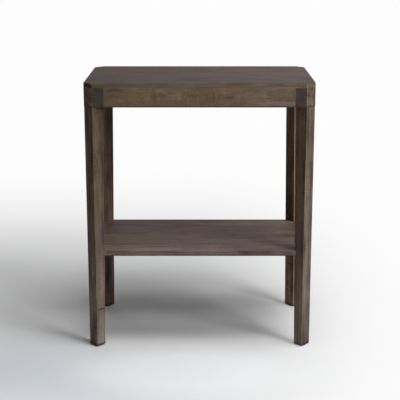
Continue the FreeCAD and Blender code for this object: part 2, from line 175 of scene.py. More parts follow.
def new_group(name, inputs, outputs, gives="Float", kind="ShaderNodeTree"):
    """A node group with named sockets, what its inputs give by name and its output sockets by name."""
    tree = bpy.data.node_groups.new(name, kind)
    for label, value in inputs.items():
        socket_type = "NodeSocket" + SOCKET_KINDS[type(value)]
        tree.interface.new_socket(label, in_out="INPUT", socket_type=socket_type).default_value = value
    for label in outputs:
        tree.interface.new_socket(label, in_out="OUTPUT", socket_type="NodeSocket" + gives)
    given = {socket.name: Number(tree, socket) for socket in tree.nodes.new("NodeGroupInput").outputs}
    return tree, given, tree.nodes.new("NodeGroupOutput").inputs


print("vectors and groups ready")

# %% [markdown]
# ## The grain
#
# A board is a slice of a tree. Its growth rings are long nested tubes, so on a face they show as
# streaks that wander and close into arches, and on an end they show as arcs. On top of the rings
# come fine pores, soft blotches where the stain took more or less, and in a figured board short
# bars across the grain that glimmer.
#
# We could paint this, but a painted picture stops at the corners of a piece. Noise that is read
# at each point of the solid runs round every corner as real wood does. The group takes a position
# whose X runs along the grain. Squeezed along X, a blob becomes a streak.

# %% Noise that is stretched along the grain
# how long and how wide the blobs of each noise are, its detail and its roughness
GRAIN_NOISE = {
    "wander": (0.35, 0.09, 1.0, 0.4),
    "streaks": (0.22, 0.012, 3.0, 0.55),
    "threads": (0.06, 0.0028, 2.0, 0.6),
    "blotches": (0.075, 0.03, 2.0, 0.5),
    "clouds": (0.022, 0.014, 3.0, 0.55),
    "pores": (0.009, 0.0006, 1.0, 0.5),
    "bars": (0.0045, 0.016, 2.0, 0.5),
    "figured": (0.06, 0.05, 1.0, 0.5),
    "warmth": (0.12, 0.05, 2.0, 0.5),
}
SWIRL_NOISE = (0.04, 0.025, 1.0, 0.5)


def stretched_noise(tree, position, along, across, detail=2.0, roughness=0.5, seed=0.0):
    """Noise whose blobs are `along` metres long and `across` metres wide."""
    squeezed = vector(tree, "MULTIPLY", position, (1.0 / along, 1.0 / across, 1.0 / across))
    settings = {"Vector": squeezed, "W": seed, "Scale": 1.0, "Detail": detail, "Roughness": roughness}
    return Number(tree, add(tree, "ShaderNodeTexNoise", settings, noise_dimensions="4D").outputs["Fac"])


print("kinds of noise:", ", ".join(GRAIN_NOISE))

# %% [markdown]
# The group adds the noises up into one `Tone`, from dark to light. In straight grain the streaks
# count most, in loose grain the clouds. The heart of the tree lies a little under the board, and the
# late wood, at the end of each year's ring, is its dark line.

# %% The grain group
BOARD_SHIFT = (3.0, 1.0, 0.0)
SWIRL_REACH, WANDER_REACH = 0.05, 0.11
HEART_SPACING, HEART_DEPTH, LATE_WOOD_POWER = 0.06, 0.05, 3.0
FIGURED, WARM, PORES_SHOW = (0.45, 0.62), (0.35, 0.65), (0.62, 0.7)
THREADS, BLOTCHES, LATE_WOOD, BOARDS, FIGURE = 0.65, 0.9, -0.13, 0.12, 1.8
MEAN_TONE, STREAKY_STRAIGHT, STREAKY_ALWAYS = 0.45, 0.95, 0.3


def make_grain_group():
    tree, given, out = new_group("wood grain", {
        "Position": ORIGIN, "Seed": 0.0, "Board Width": 0.11, "Ring Gap": 0.006, "Figure": 0.3,
        "Contrast": 1.0, "Straight": 1.0}, ["Tone", "Warmth", "Pores"])
    place, seed, straight = given["Position"], given["Seed"], given["Straight"]

    # each glued-up board is cut from another part of the log
    board = calc(tree, "FLOOR", split(tree, place)["Y"] / given["Board Width"] + 0.5)
    chance = add(tree, "ShaderNodeTexWhiteNoise", {"W": board + seed}, noise_dimensions="1D").outputs
    shifted = vector(tree, "ADD", place, vector(tree, "MULTIPLY", chance["Color"], BOARD_SHIFT))

    # in a board that isn't straight-grained the fibres swirl from side to side
    loose = 1.0 - straight
    swirl = (stretched_noise(tree, place, *SWIRL_NOISE, seed) - 0.5) * loose * SWIRL_REACH
    shifted = vector(tree, "ADD", shifted, combine(tree, 0.0, swirl, swirl))
    noise = {name: stretched_noise(tree, shifted, *shape, seed) for name, shape in GRAIN_NOISE.items()}

    # rings round a heart that lies some way below the board and wanders along it
    parts = split(tree, shifted)
    side = calc(tree, "PINGPONG", parts["Y"], HEART_SPACING) + (noise["wander"] - 0.5) * WANDER_REACH
    radius = calc(tree, "SQRT", side ** 2.0 + (parts["Z"] + HEART_DEPTH) ** 2.0)
    late_wood = calc(tree, "FRACT", radius / given["Ring Gap"]) ** LATE_WOOD_POWER

    # bars across the grain, only where the figure runs
    figure = remap(tree, noise["figured"], *FIGURED) * given["Figure"] * (noise["bars"] - 0.5)

    streaky = straight * STREAKY_STRAIGHT + STREAKY_ALWAYS
    tone = (noise["streaks"] - 0.5) * streaky + 0.5
    tone += (noise["threads"] - 0.5) * (streaky * THREADS)
    tone += (noise["clouds"] - 0.5) * loose
    tone += (noise["blotches"] - 0.5) * BLOTCHES
    tone += late_wood * LATE_WOOD
    tone += (Number(tree, chance["Value"]) - 0.5) * BOARDS
    tone += figure * FIGURE
    plug(tree, out["Tone"], (tone - MEAN_TONE) * given["Contrast"] + MEAN_TONE)
    plug(tree, out["Warmth"], remap(tree, noise["warmth"], *WARM))
    plug(tree, out["Pores"], remap(tree, noise["pores"], *PORES_SHOW))
    return tree


grain_group = make_grain_group()
print("grain group:", len(grain_group.nodes), "nodes")

# %% [markdown]
# ## Edges
#
# Hands, cloths and vacuum cleaners reach the edges first. Stain wears thin there and the wood
# shows lighter, in an uneven line. To find how far a point is from the nearest edge, we measure
# its distance to every face. On a surface one distance is nothing, so the second smallest is the
# way to the edge. The same sum works for a plain board, for one with clipped corners and for a leg,
# once the position is turned into the piece's own directions.

# %% The distance to the nearest edge of a clipped board
PATCHY_NOISE, PATCHY_SEED = (0.03, 0.03, 4.0, 0.6), 3.0
PATCHY, LEAST_REACH, MOST_REACH = (0.35, 0.75), 0.2, 2.2


def make_edge_group():
    tree, given, out = new_group("edge wear", {
        "Position": ORIGIN, "Half Size": ORIGIN, "Clip": 0.0, "Width": 0.001}, ["Worn"])
    room = vector(tree, "SUBTRACT", given["Half Size"], vector(tree, "ABSOLUTE", given["Position"]))
    x, y, z = split(tree, room).values()
    corner = (x + y - given["Clip"]) * math.sqrt(0.5)
    least_side, most_side = calc(tree, "MINIMUM", x, y), calc(tree, "MAXIMUM", x, y)
    least_other, most_other = calc(tree, "MINIMUM", corner, z), calc(tree, "MAXIMUM", corner, z)
    second = calc(tree, "MINIMUM", calc(tree, "MAXIMUM", least_side, least_other),
                  calc(tree, "MINIMUM", most_side, most_other))
    patchy = stretched_noise(tree, given["Position"], *PATCHY_NOISE, PATCHY_SEED)
    reach = given["Width"] * remap(tree, patchy, *PATCHY, LEAST_REACH, MOST_REACH)
    plug(tree, out["Worn"], calc(tree, "SUBTRACT", 1.0, second / reach, clamp=True))
    return tree


edge_group = make_edge_group()
print("edge group:", len(edge_group.nodes), "nodes")

# %% [markdown]
# ## Marks
#
# No board is even. A knot nearby bends the grain into a dark patch, a plane tears out a few fibres,
# a clamp leaves a line. Such a mark is a soft spot on one piece, so the group takes a centre and a
# size and gives 1 in the middle and 0 outside. A little noise frays its edge, so that it doesn't
# look like a stamp. The same soft spots also paint light and shade: highlights along edges, a lit
# strip, and lighter and darker patches on the floor.

# %% A soft mark at one place
FRAY_SCALE, FULL_WITHIN = 110.0, 0.35


def make_mark_group():
    tree, given, out = new_group("soft mark", {
        "Position": ORIGIN, "Centre": ORIGIN, "Size": ORIGIN, "Fray": 0.004}, ["Mask"])
    place = given["Position"]
    noise = add(tree, "ShaderNodeTexNoise", {"Vector": place, "Scale": FRAY_SCALE, "Detail": 2.0}).outputs
    push = vector(tree, "SUBTRACT", noise["Color"], (0.5, 0.5, 0.5))
    frayed = vector(tree, "ADD", place, vector(tree, "MULTIPLY", push, given["Fray"]))
    away = vector(tree, "DIVIDE", vector(tree, "SUBTRACT", frayed, given["Centre"]), given["Size"])
    length = add(tree, "ShaderNodeVectorMath", {0: away}, operation="LENGTH").outputs["Value"]
    plug(tree, out["Mask"], remap(tree, length, FULL_WITHIN, 1.0, 1.0, 0.0))
    return tree


mark_group = make_mark_group()
print("mark group:", len(mark_group.nodes), "nodes")

# %% [markdown]
# ## The stain
#
# The finish is a grey-brown stain under a thin matt lacquer. Light wood takes it warm, dense
# wood takes it dark, and end grain drinks it and goes nearly black-grey. One function mixes that
# from the groups. Each piece gets its own material, because its grain runs its own way: along
# the top, the shelf and the front rail, front to back in a side rail, and up a leg. A Mapping node
# turns the position so that X follows the grain.

# %% Helpers for materials
def mix(tree, amount, first, second, blend="MIX"):
    """Two colours mixed by an amount."""
    made = add(tree, "ShaderNodeMix", data_type="RGBA", blend_type=blend)
    for socket, value in ((made.inputs[0], amount), (made.inputs[6], first), (made.inputs[7], second)):
        plug(tree, socket, value)
    return made.outputs[2]


def use_group(tree, group, **values):
    """A node group placed in a material, with its inputs filled; gives what comes out, by name."""
    made = add(tree, "ShaderNodeGroup", node_tree=group)
    for name, value in values.items():
        plug(tree, made.inputs[name.replace("_", " ")], value)
    return {socket.name: Number(tree, socket) for socket in made.outputs}


def new_material(name):
    """An empty material and its tree."""
    made = bpy.data.materials.new(name)
    made.use_nodes = True
    made.node_tree.nodes.clear()
    return made, made.node_tree


def finish_material(tree, base, roughness, normal=None, **plain):
    """The Principled shader with its plain values, joined to the output."""
    shader = add(tree, "ShaderNodeBsdfPrincipled", {"Base Color": base, "Roughness": roughness})
    for name, value in plain.items():
        shader.inputs[name.replace("_", " ")].default_value = value
    if normal is not None:
        plug(tree, shader.inputs["Normal"], normal)
    add(tree, "ShaderNodeOutputMaterial", {"Surface": shader})


def on_piece(tree, centre, half_size, turn, taper):
    """The position in the piece's own directions, about its middle, and the way the surface faces."""
    own = add(tree, "ShaderNodeTexCoord").outputs
    placed, facing = (
        add(tree, "ShaderNodeMapping", {"Vector": own[what], "Location": at, "Rotation": (0.0, 0.0, turn)},
            vector_type="TEXTURE") for what, at in (("Object", centre), ("Normal", ORIGIN)))
    if taper != 1.0:
        # a tapered leg is drawn out to its full depth, so that its inner face counts as a face
        x, y, z = split(tree, placed).values()
        depth = remap(tree, z, -half_size[2], half_size[2], taper, 1.0, "LINEAR")
        placed = combine(tree, (x + half_size[0]) / depth - half_size[0], y, z)
    return placed, facing


print("material helpers ready")

# %% [markdown]
# What differs from piece to piece is the piece's look. `start` and `end` are the tint at the two
# ends of the grain, and the tint drifts from one to the other. `sides` holds two more tints, for
# the narrow faces of a board or the side faces of a leg. They are painted light and shade: they
# make these faces lighter or darker than the lamps alone make them. `side_contrast` says how
# strongly the grain shows there.

# %% Stained wood
DARK, MIDDLE, LIGHT = (0.026, 0.017, 0.012, 1.0), (0.1, 0.068, 0.048, 1.0), (0.2, 0.146, 0.108, 1.0)
DARK_GREY, LIGHT_GREY = (0.04, 0.031, 0.029, 1.0), (0.15, 0.124, 0.117, 1.0)
OCHRE, END_GRAIN = (0.11, 0.078, 0.042, 1.0), (0.038, 0.031, 0.03, 1.0)
# how far worn edges reach; the wide reach, on the shelf, is wear plus a painted highlight along its arris
NARROW_WORN, WIDE_WEAR_AND_HIGHLIGHT = 0.0011, 0.003
UNTINTED = (1.0, 1.0, 1.0)
# the axes, beginning with the one that the grain follows
GRAIN_FIRST = {"X": "XYZ", "Y": "YXZ", "Z": "ZXY"}
FACES_BROADLY, FACES_ENDWISE = (0.3, 0.9), (0.78, 0.95)
PORES_DARK, END_LEFT = 0.55, 0.22
LOW_DARK_FULL = 0.3
TONES, MATT, MATTER = (0.2, 0.8), 0.52, 0.62
BUMP_STRENGTH, BUMP_HEIGHT, LACQUER_GLEAM = 0.12, 0.0004, 0.03


def stained_wood(name, grain_axis, centre, half_size, clip=0.0, marks=(), seed=1.0, board_width=0.5,
                 ring_gap=0.006, figure=0.3, straight=1.0, contrast=1.0, side_contrast=1.0, grey=0.3,
                 ochre=0.0, start=UNTINTED, end=UNTINTED, sides=None, broad="Z", worn=0.5,
                 worn_width=NARROW_WORN, low_dark=0.0, low_height=0.003, turn=0.0, taper=1.0):
    """Stained wood for one piece; grain_axis is the piece's own direction that the grain follows."""
    material, tree = new_material(name)
    placed, facing = on_piece(tree, centre, half_size, turn, taper)
    parts, faced = split(tree, placed), split(tree, facing)
    along = combine(tree, *(parts[axis] for axis in GRAIN_FIRST[grain_axis]))
    if sides:
        flat = abs(faced[broad])
        narrow = remap(tree, flat, *FACES_BROADLY, 1.0, 0.0)
        contrast = remap(tree, flat, *FACES_BROADLY, side_contrast, contrast)
    grain = use_group(tree, grain_group, Position=along, Seed=seed, Board_Width=board_width,
                      Ring_Gap=ring_gap, Figure=figure, Contrast=contrast, Straight=straight)
    edges = use_group(tree, edge_group, Position=placed, Half_Size=half_size, Clip=clip, Width=worn_width)

    # the wood's own colours, with grey patches and dark pores
    ramp = add(tree, "ShaderNodeValToRGB", {"Fac": grain["Tone"]})
    first, last = ramp.color_ramp.elements
    first.color, last.color = DARK, LIGHT
    ramp.color_ramp.elements.new(0.5).color = MIDDLE
    greyed = mix(tree, grain["Tone"], DARK_GREY, LIGHT_GREY)
    half_grey = 0.5 * grey
    stained = mix(tree, grain["Warmth"] * half_grey + half_grey, ramp.outputs["Color"], greyed)
    stained = mix(tree, (1.0 - grain["Warmth"]) * ochre, stained, OCHRE)
    stained = mix(tree, grain["Pores"] * PORES_DARK, stained, DARK)

    # the tint drifts along the grain, and painted light and shade make narrow and side faces lighter or
    # darker
    half_long = half_size["XYZ".index(grain_axis)]
    drift = remap(tree, parts[grain_axis], -half_long, half_long, kind="LINEAR")
    tint = mix(tree, drift, (*start, 1.0), (*end, 1.0))
    if sides:
        painted_side_start, painted_side_end = sides
        tint = mix(tree, narrow, tint, mix(tree, drift, (*painted_side_start, 1.0), (*painted_side_end, 1.0)), "MULTIPLY")
    stained = mix(tree, 1.0, stained, tint, "MULTIPLY")
    for mark_centre, size, colour in marks:
        mask = use_group(tree, mark_group, Position=placed, Centre=mark_centre, Size=size)["Mask"]
        stained = mix(tree, mask, stained, (*colour, 1.0), "MULTIPLY")

    # thirsty end grain, worn edges, and a darker band at the lower edge: painted shade under a board's
    # lower arris, a foot darker towards the bottom
    endwise = remap(tree, abs(faced[grain_axis]), *FACES_ENDWISE)
    stained = mix(tree, endwise, stained, mix(tree, END_LEFT, END_GRAIN, stained))
    bare = mix(tree, 1.0, LIGHT, tint, "MULTIPLY")
    stained = mix(tree, edges["Worn"] * worn, stained, bare)
    if low_dark:
        above = parts["Z"] + half_size[2]
        low = remap(tree, above, LOW_DARK_FULL * low_height, low_height, low_dark, 0.0)
        stained = mix(tree, low, stained, DARK)

    rough = remap(tree, grain["Tone"], *TONES, MATT, MATTER)
    bump = add(tree, "ShaderNodeBump", {"Strength": BUMP_STRENGTH, "Distance": BUMP_HEIGHT,
                                        "Height": grain["Tone"] - grain["Pores"]})
    finish_material(tree, stained, rough, bump, Specular_IOR_Level=LACQUER_GLEAM)
    return material


print("stained wood ready")

# %% [markdown]
# The boards come first. The top has the greyest look, and it gets lighter to the right. The front rail
# is from a curly board, with bars across its grain, a dark swirl left of its middle and a fine
# crack near its right end. Marks are given from the middle of the piece, and their colours are
# factors: under 1 is darker than the wood around them.

# %% The marks on the boards
RAIL_FACE, SHELF_FACE = -0.152, -0.137


def front_marks(face, deep, rows):
    """Marks on a front face, each from its x, z, half length, half height and colour."""
    return [((x, face, z), (long, deep, high), colour) for x, z, long, high, colour in rows]


# the first mark is a painted highlight along the top's upper front arris, the other two are darker spots
top_marks_and_highlight = [((0.0, -0.152, 0.026), (0.6, 0.022, 0.0025), (1.12, 1.09, 1.05)),
             ((0.24, -0.15, 0.021), (0.05, 0.035, 0.012), (0.72, 0.72, 0.74)),
             ((-0.246, -0.142, 0.019), (0.015, 0.016, 0.01), (0.42, 0.42, 0.5))]
# the first shelf mark is a painted highlight along the upper front arris
shelf_marks_and_highlight = [((-0.08, -0.13, 0.006), (0.2, 0.009, 0.006), (1.08, 1.06, 1.04))]
shelf_marks_and_highlight += front_marks(SHELF_FACE, 0.004, [(-0.115, 0.0, 0.05, 0.005, (1.08, 1.12, 0.98))])
shelf_marks_and_highlight += front_marks(SHELF_FACE, 0.004, [
    (x, 0.0005, 0.0022, 0.0022, (1.5, 1.5, 1.25))
    for x in (-0.048, -0.041, -0.034, -0.026, -0.021, 0.073, 0.08, 0.088)])
rail_marks = front_marks(RAIL_FACE, 0.01, [
    (-0.1, 0.004, 0.009, 0.02, (0.8, 0.78, 0.78)),
    (-0.085, 0.0, 0.018, 0.007, (0.78, 0.76, 0.76)),
    (-0.044, -0.006, 0.0022, 0.0022, (1.9, 1.9, 1.8)),
    (-0.056, -0.007, 0.0018, 0.0018, (1.6, 1.6, 1.5)),
    (-0.088, 0.01, 0.012, 0.0014, (1.35, 1.38, 1.35)),
    (0.016, -0.003, 0.0022, 0.014, (0.84, 0.82, 0.82)),
    (0.031, -0.003, 0.0026, 0.016, (0.78, 0.76, 0.76)),
    (0.043, -0.003, 0.002, 0.013, (0.84, 0.82, 0.82)),
    (0.064, -0.004, 0.018, 0.004, (0.7, 0.67, 0.68)),
    (0.147, -0.006, 0.018, 0.0012, (0.55, 0.52, 0.52)),
    (0.17, -0.018, 0.055, 0.008, (1.3, 1.3, 1.32)),
    (-0.15, -0.002, 0.022, 0.016, (1.08, 1.08, 0.88)),
])
print("marks on top, shelf and rail:", len(top_marks_and_highlight), len(shelf_marks_and_highlight), len(rail_marks))

# %% The boards
def box_middle(low, high):
    """The middle and the half size of a box."""
    return (low + high) / 2, (high - low) / 2


shelf_middle, shelf_half = box_middle(shelf_low, shelf_high)
# the top lies flush on the rails, so one box gives the open edges of both
upper_middle, upper_half = box_middle(Vector((-HALF_WIDTH, -HALF_DEPTH, FRAME_LEVEL)), top_high)
# how far a notch reaches along each side of the shelf
SHELF_CLIP = 0.027
# the tints of the top's narrow faces are painted light, far lighter than its upper face
top_look = dict(board_width=0.11, grey=0.9, start=(0.475, 0.4, 0.37), end=(0.79, 0.735, 0.755),
                sides=((2.5, 2.72, 2.28), (2.28, 2.4, 1.9)), contrast=1.5, side_contrast=0.8)
# the shelf's narrow faces get painted shade, and its wide worn edge is wear plus a painted highlight along
# the arris
shelf_look = dict(board_width=0.11, grey=0.8, start=(2.09, 1.97, 2.02), end=(1.45, 1.36, 1.33),
                  sides=((0.82, 0.9, 0.88), (0.94, 1.04, 0.99)), worn_width=WIDE_WEAR_AND_HIGHLIGHT, worn=0.24,
                  side_contrast=0.8, low_dark=0.55, low_height=0.0035)
rail_look = dict(figure=0.6, straight=0.3, ochre=0.35, start=(1.6, 1.57, 1.46), end=(1.5, 1.51, 1.53),
                 contrast=0.8, low_dark=0.55, low_height=0.005)
side_look = dict(low_dark=0.5, low_height=0.005)
left_tint, right_tint = (1.36, 1.42, 1.44), (1.14, 1.12, 1.1)


def upper_wood(name, grain_axis, marks=(), **look):
    """Stained wood for the top or a rail."""
    return stained_wood(name, grain_axis, upper_middle, upper_half, CLIP, marks, **look)


wood = {
    "top_board": upper_wood("top wood", "X", top_marks_and_highlight, seed=2.0, **top_look),
    "shelf": stained_wood("shelf wood", "X", shelf_middle, shelf_half, SHELF_CLIP, shelf_marks_and_highlight, seed=5.0,
                          **shelf_look),
    "front_rail": upper_wood("front rail wood", "X", rail_marks, seed=11.0, **rail_look),
    "back_rail": upper_wood("back rail wood", "X", seed=13.0, **rail_look),
    "left_rail": upper_wood("left rail wood", "Y", seed=17.0, start=left_tint, end=left_tint, **side_look),
    "right_rail": upper_wood("right rail wood", "Y", seed=19.0, start=right_tint, end=right_tint,
                             **side_look),
}
print(len(wood), "boards stained")

# %% [markdown]
# A leg stands at 45 degrees to everything else, so its position is turned to run through the leg:
# X inward from its outer face, Y across and Z up. The feet are darker towards the bottom. One leg
# has a saw's line across it and one has two short cracks along the grain. One is lighter below the
# shelf and has a painted highlight, a lit strip, along an inner edge, and on another painted light
# lifts the leg out of the shade under the shelf.

# %% The marks on the legs
OUTER_FACE, INNER_FACE, SIDE_FACE = -0.0167, 0.014, 0.014


def ring_mark(z, high, colour):
    """A mark all round a leg."""
    return (0.0, 0.0, z), (0.06, 0.06, high), colour


def face_mark(face, z, high, colour):
    """A mark across the outer or the inner face."""
    return (face, 0.0, z), (0.006, 0.03, high), colour


def side_mark(side, x, z, long, high, colour):
    """A mark on one of the two side faces."""
    return (x, side * SIDE_FACE, z), (long, 0.004, high), colour


leg_marks_and_painted_light = {
    "front_left": [side_mark(-1, 0.004, -0.196, 0.03, 0.0032, (0.38, 0.34, 0.34)),
                   side_mark(-1, 0.004, -0.192, 0.03, 0.0016, (1.35, 1.35, 1.35)),
                   side_mark(-1, 0.0, -0.121, 0.05, 0.07, (1.3, 1.3, 1.34)),
                   side_mark(-1, 0.0, -0.25, 0.05, 0.06, (1.35, 1.38, 1.42))],
    "front_right": [side_mark(1, 0.002, 0.112, 0.0016, 0.026, (0.5, 0.46, 0.46)),
                    side_mark(1, -0.013, -0.145, 0.0022, 0.012, (0.45, 0.42, 0.42)),
                    face_mark(OUTER_FACE, 0.26, 0.13, (0.6, 0.6, 0.6)),
                    side_mark(1, 0.0, 0.265, 0.05, 0.11, (1.7, 1.72, 1.85)),
                    face_mark(OUTER_FACE, -0.03, 0.24, (1.2, 1.19, 1.16)),
                    face_mark(OUTER_FACE, -0.27, 0.09, (0.86, 0.88, 0.9))],
    # painted light: lifts this leg out of the shade under the shelf
    "back_left": [ring_mark(-0.11, 0.11, (1.4, 1.44, 1.3))],
    "back_right": [ring_mark(-0.278, 0.26, (1.95, 1.95, 2.2)),
                   # painted highlight: the lit strip along the inner edge of a side face
                   side_mark(1, 0.0165, 0.0, 0.009, 0.1, (1.45, 1.3, 1.2)),
                   side_mark(1, 0.0165, 0.2, 0.009, 0.2, (1.7, 1.9, 2.2)),
                   face_mark(INNER_FACE, -0.172, 0.0022, (0.5, 0.42, 0.42))],
}
print("marks on the legs:", {corner: len(marks) for corner, marks in leg_marks_and_painted_light.items()})

# %% The legs
leg_look = dict(grey=0.45, ochre=0.35, contrast=1.4, side_contrast=1.1, low_dark=0.8, low_height=0.008,
                broad="X", taper=LEG_DEEP_FOOT / LEG_DEEP_TOP)
# the tints of the legs' side faces are painted light and shade
corner_looks = {
    "front_left": dict(seed=23.0, start=(1.75, 1.84, 1.9), end=(1.26, 1.08, 0.97),
                       sides=((0.89, 0.9, 1.01), (0.75, 0.82, 0.8))),
    "front_right": dict(seed=27.0, start=(1.26, 1.41, 1.62), end=(1.58, 1.6, 1.51),
                        sides=((1.32, 1.22, 1.12), (0.5, 0.46, 0.43))),
    "back_left": dict(seed=31.0, start=(1.2, 1.2, 1.3), end=(0.9, 0.87, 0.85)),
    "back_right": dict(seed=35.0, start=(1.02, 0.92, 0.74), end=(1.16, 1.12, 1.0),
                       sides=((1.35, 1.3, 1.25), (1.35, 1.3, 1.25))),
}
leg_half = (LEG_DEEP_TOP / 2, LEG_WIDE / 2, (leg_high.z - leg_low.z) / 2)
leg_level = (leg_low.z + leg_high.z) / 2
for corner, (sx, sy) in CORNERS.items():
    inward = math.atan2(-sy, -sx)
    outer = Vector((sx * (HALF_WIDTH - CLIP / 2), sy * (HALF_DEPTH - CLIP / 2), leg_level))
    middle = outer + Vector((math.cos(inward), math.sin(inward), 0.0)) * LEG_DEEP_TOP / 2
    wood["leg_" + corner] = stained_wood("leg wood " + corner.replace("_", " "), "Z", middle, leg_half,
                                         marks=leg_marks_and_painted_light[corner], turn=inward, **leg_look,
                                         **corner_looks[corner])
print("legs", sorted(n for n in wood if n.startswith("leg_")))

# %% [markdown]
# ## Steel, beech and nylon
#
# What holds the table together hardly shows: zinc-plated screws and bolts, plain beech dowels and
# dark nylon glides. A little noise in their colour and gloss keeps them from looking like paint.

# %% Other materials
SPECK, SPECK_DETAIL, SPECKS = 0.004, 3.0, (0.3, 0.7)
DARKER, UNEVEN = 0.85, 0.08


def plain_material(name, colour, roughness, metallic=0.0):
    """A material of one kind, a little uneven in colour and gloss."""
    material, tree = new_material(name)
    place = add(tree, "ShaderNodeTexCoord").outputs["Object"]
    blur = stretched_noise(tree, place, SPECK, SPECK, SPECK_DETAIL)
    tint = mix(tree, blur, (*(DARKER * c for c in colour), 1.0), (*colour, 1.0))
    rough = remap(tree, blur, *SPECKS, roughness - UNEVEN, roughness + UNEVEN)
    finish_material(tree, tint, rough, Metallic=metallic)
    return material


steel = plain_material("zinc-plated steel", (0.62, 0.62, 0.6), 0.38, 1.0)
beech = plain_material("bare beech", (0.55, 0.38, 0.22), 0.7)
nylon = plain_material("dark nylon", (0.02, 0.017, 0.015), 0.5)
# now every CAD node gets its material
for name, node in nodes.items():
    plain = nylon if name.startswith("glide") else beech if name == "shelf_dowels" else steel
    node.data.materials.clear()
    node.data.materials.append(wood.get(name, plain))
print("screws and bolts:", steel.name, "- dowels:", beech.name, "- glides:", nylon.name)

# %% [markdown]
# ## Shapes that follow a rule
#
# The top is a rectangle with its corners clipped, raised to a thickness, with an eased edge. That
# is a rule, so Geometry Nodes can hold it: change a number and the board follows. The same goes
# for a screw, whose thread is a wave wound round a rod, and for anything that is there four times.
#
# `new_shape` opens a tree with an input for each size. `grow` runs it once, keeps a plain mesh,
# since neither the export nor a saw can follow a recipe, and puts it where the CAD's plain piece was.

# %% Trees that make shapes
BEVEL_STEPS = 4


def new_shape(name, sizes):
    """A Geometry Nodes tree with an input for each size; gives the tree, the inputs and the output."""
    tree, given, out = new_group(name, sizes, ["Geometry"], "Geometry", "GeometryNodeTree")
    return tree, given, out["Geometry"]


def grow(name, node, tree, sizes, edge_round=0.0):
    """Runs a shape tree, rounds its weighted edges, and puts the plain mesh in a CAD node's place."""
    piece = bpy.data.objects.new(name, bpy.data.meshes.new(name))
    scene.collection.objects.link(piece)
    modifier = piece.modifiers.new("shape", "NODES")
    modifier.node_group = tree
    for socket in tree.interface.items_tree:
        if socket.in_out == "INPUT":
            modifier[socket.identifier] = sizes[socket.name]
    if edge_round:
        bevel = piece.modifiers.new("rounded edges", "BEVEL")
        bevel.width, bevel.segments, bevel.limit_method = edge_round, BEVEL_STEPS, "WEIGHT"
    ready = piece.evaluated_get(bpy.context.evaluated_depsgraph_get())
    mesh = bpy.data.meshes.new_from_object(ready)
    piece.modifiers.clear()
    piece.data = mesh
    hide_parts(node)
    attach(piece, "root")
    print(name, "has", len(mesh.polygons), "faces")


print("shapes ready, bevels in", BEVEL_STEPS, "steps")

# %% [markdown]
# A few steps come back in every tree: a shape is lifted, shapes are joined, a rod is drawn in or
# out about its axis, and in the end the shape becomes a real mesh with a material.

# %% Steps that the trees share
def moved(tree, shape, z):
    """The shape lifted by z."""
    inputs = {"Geometry": shape, "Translation": combine(tree, z=z)}
    return add(tree, "GeometryNodeTransform", inputs)


def joined(tree, *shapes):
    """Several shapes as one."""
    whole = add(tree, "GeometryNodeJoinGeometry")
    for shape in shapes:
        plug(tree, whole.inputs[0], shape)
    return whole


def own_place(tree):
    """The X, Y and Z of each point of the shape that asks."""
    return split(tree, add(tree, "GeometryNodeInputPosition")).values()


def cylinder(tree, sides, steps, radius, height):
    """A rod up the Z axis with its middle at the origin."""
    inputs = {"Vertices": sides, "Side Segments": steps, "Radius": radius, "Depth": height}
    return add(tree, "GeometryNodeMeshCylinder", inputs)


def drawn_in(tree, rod, scale):
    """The rod with each of its points drawn in or out about the Z axis."""
    x, y, z = own_place(tree)
    inputs = {"Geometry": rod, "Position": combine(tree, x * scale, y * scale, z)}
    return add(tree, "GeometryNodeSetPosition", inputs)


def rectangle(tree, given):
    """The outline of a rectangle of the given width and depth."""
    sides = {"Width": given["Width"], "Height": given["Depth"]}
    return add(tree, "GeometryNodeCurvePrimitiveQuadrilateral", sides)


def four_at_corners(tree, given, thing, way):
    """Four of one thing at the corners of a rectangle on the given level, each turned its way."""
    places = add(tree, "GeometryNodeCurveToPoints", {"Curve": rectangle(tree, given)}, mode="EVALUATED")
    inputs = {"Points": places, "Instance": thing, "Rotation": way}
    return moved(tree, add(tree, "GeometryNodeInstanceOnPoints", inputs), given["Level"])


def made_real(tree, out, shape, material):
    """Turns copies into mesh, gives the material and sends the shape out."""
    real = add(tree, "GeometryNodeRealizeInstances", {0: shape})
    plug(tree, out, add(tree, "GeometryNodeSetMaterial", {"Geometry": real, "Material": material}))


print("steps ready: moved, joined, drawn in, four at the corners, made real")

# %% [markdown]
# ## The top
#
# On the real table the top is a wide board glued up from narrower ones, cut to a rectangle, with
# its corners sawn off at 45 degrees, and the upper edge rounded over with a router. We could model
# it as a cube and bevel it. The tree draws the outline instead, as a maker marks it on the board.
# A fillet with a single step is just the straight cut of the saw. The weights that the tree writes
# on the edges tell the Bevel modifier where to round: fully on top, a little at the corners and
# hardly at all below.

# %% The clipped board
SAME_POINT, NEAR = 0.00001, 0.0001
EDGE_ROUND, LOWER_SHARE, CORNER_SHARE = 0.0015, 0.08, 0.3


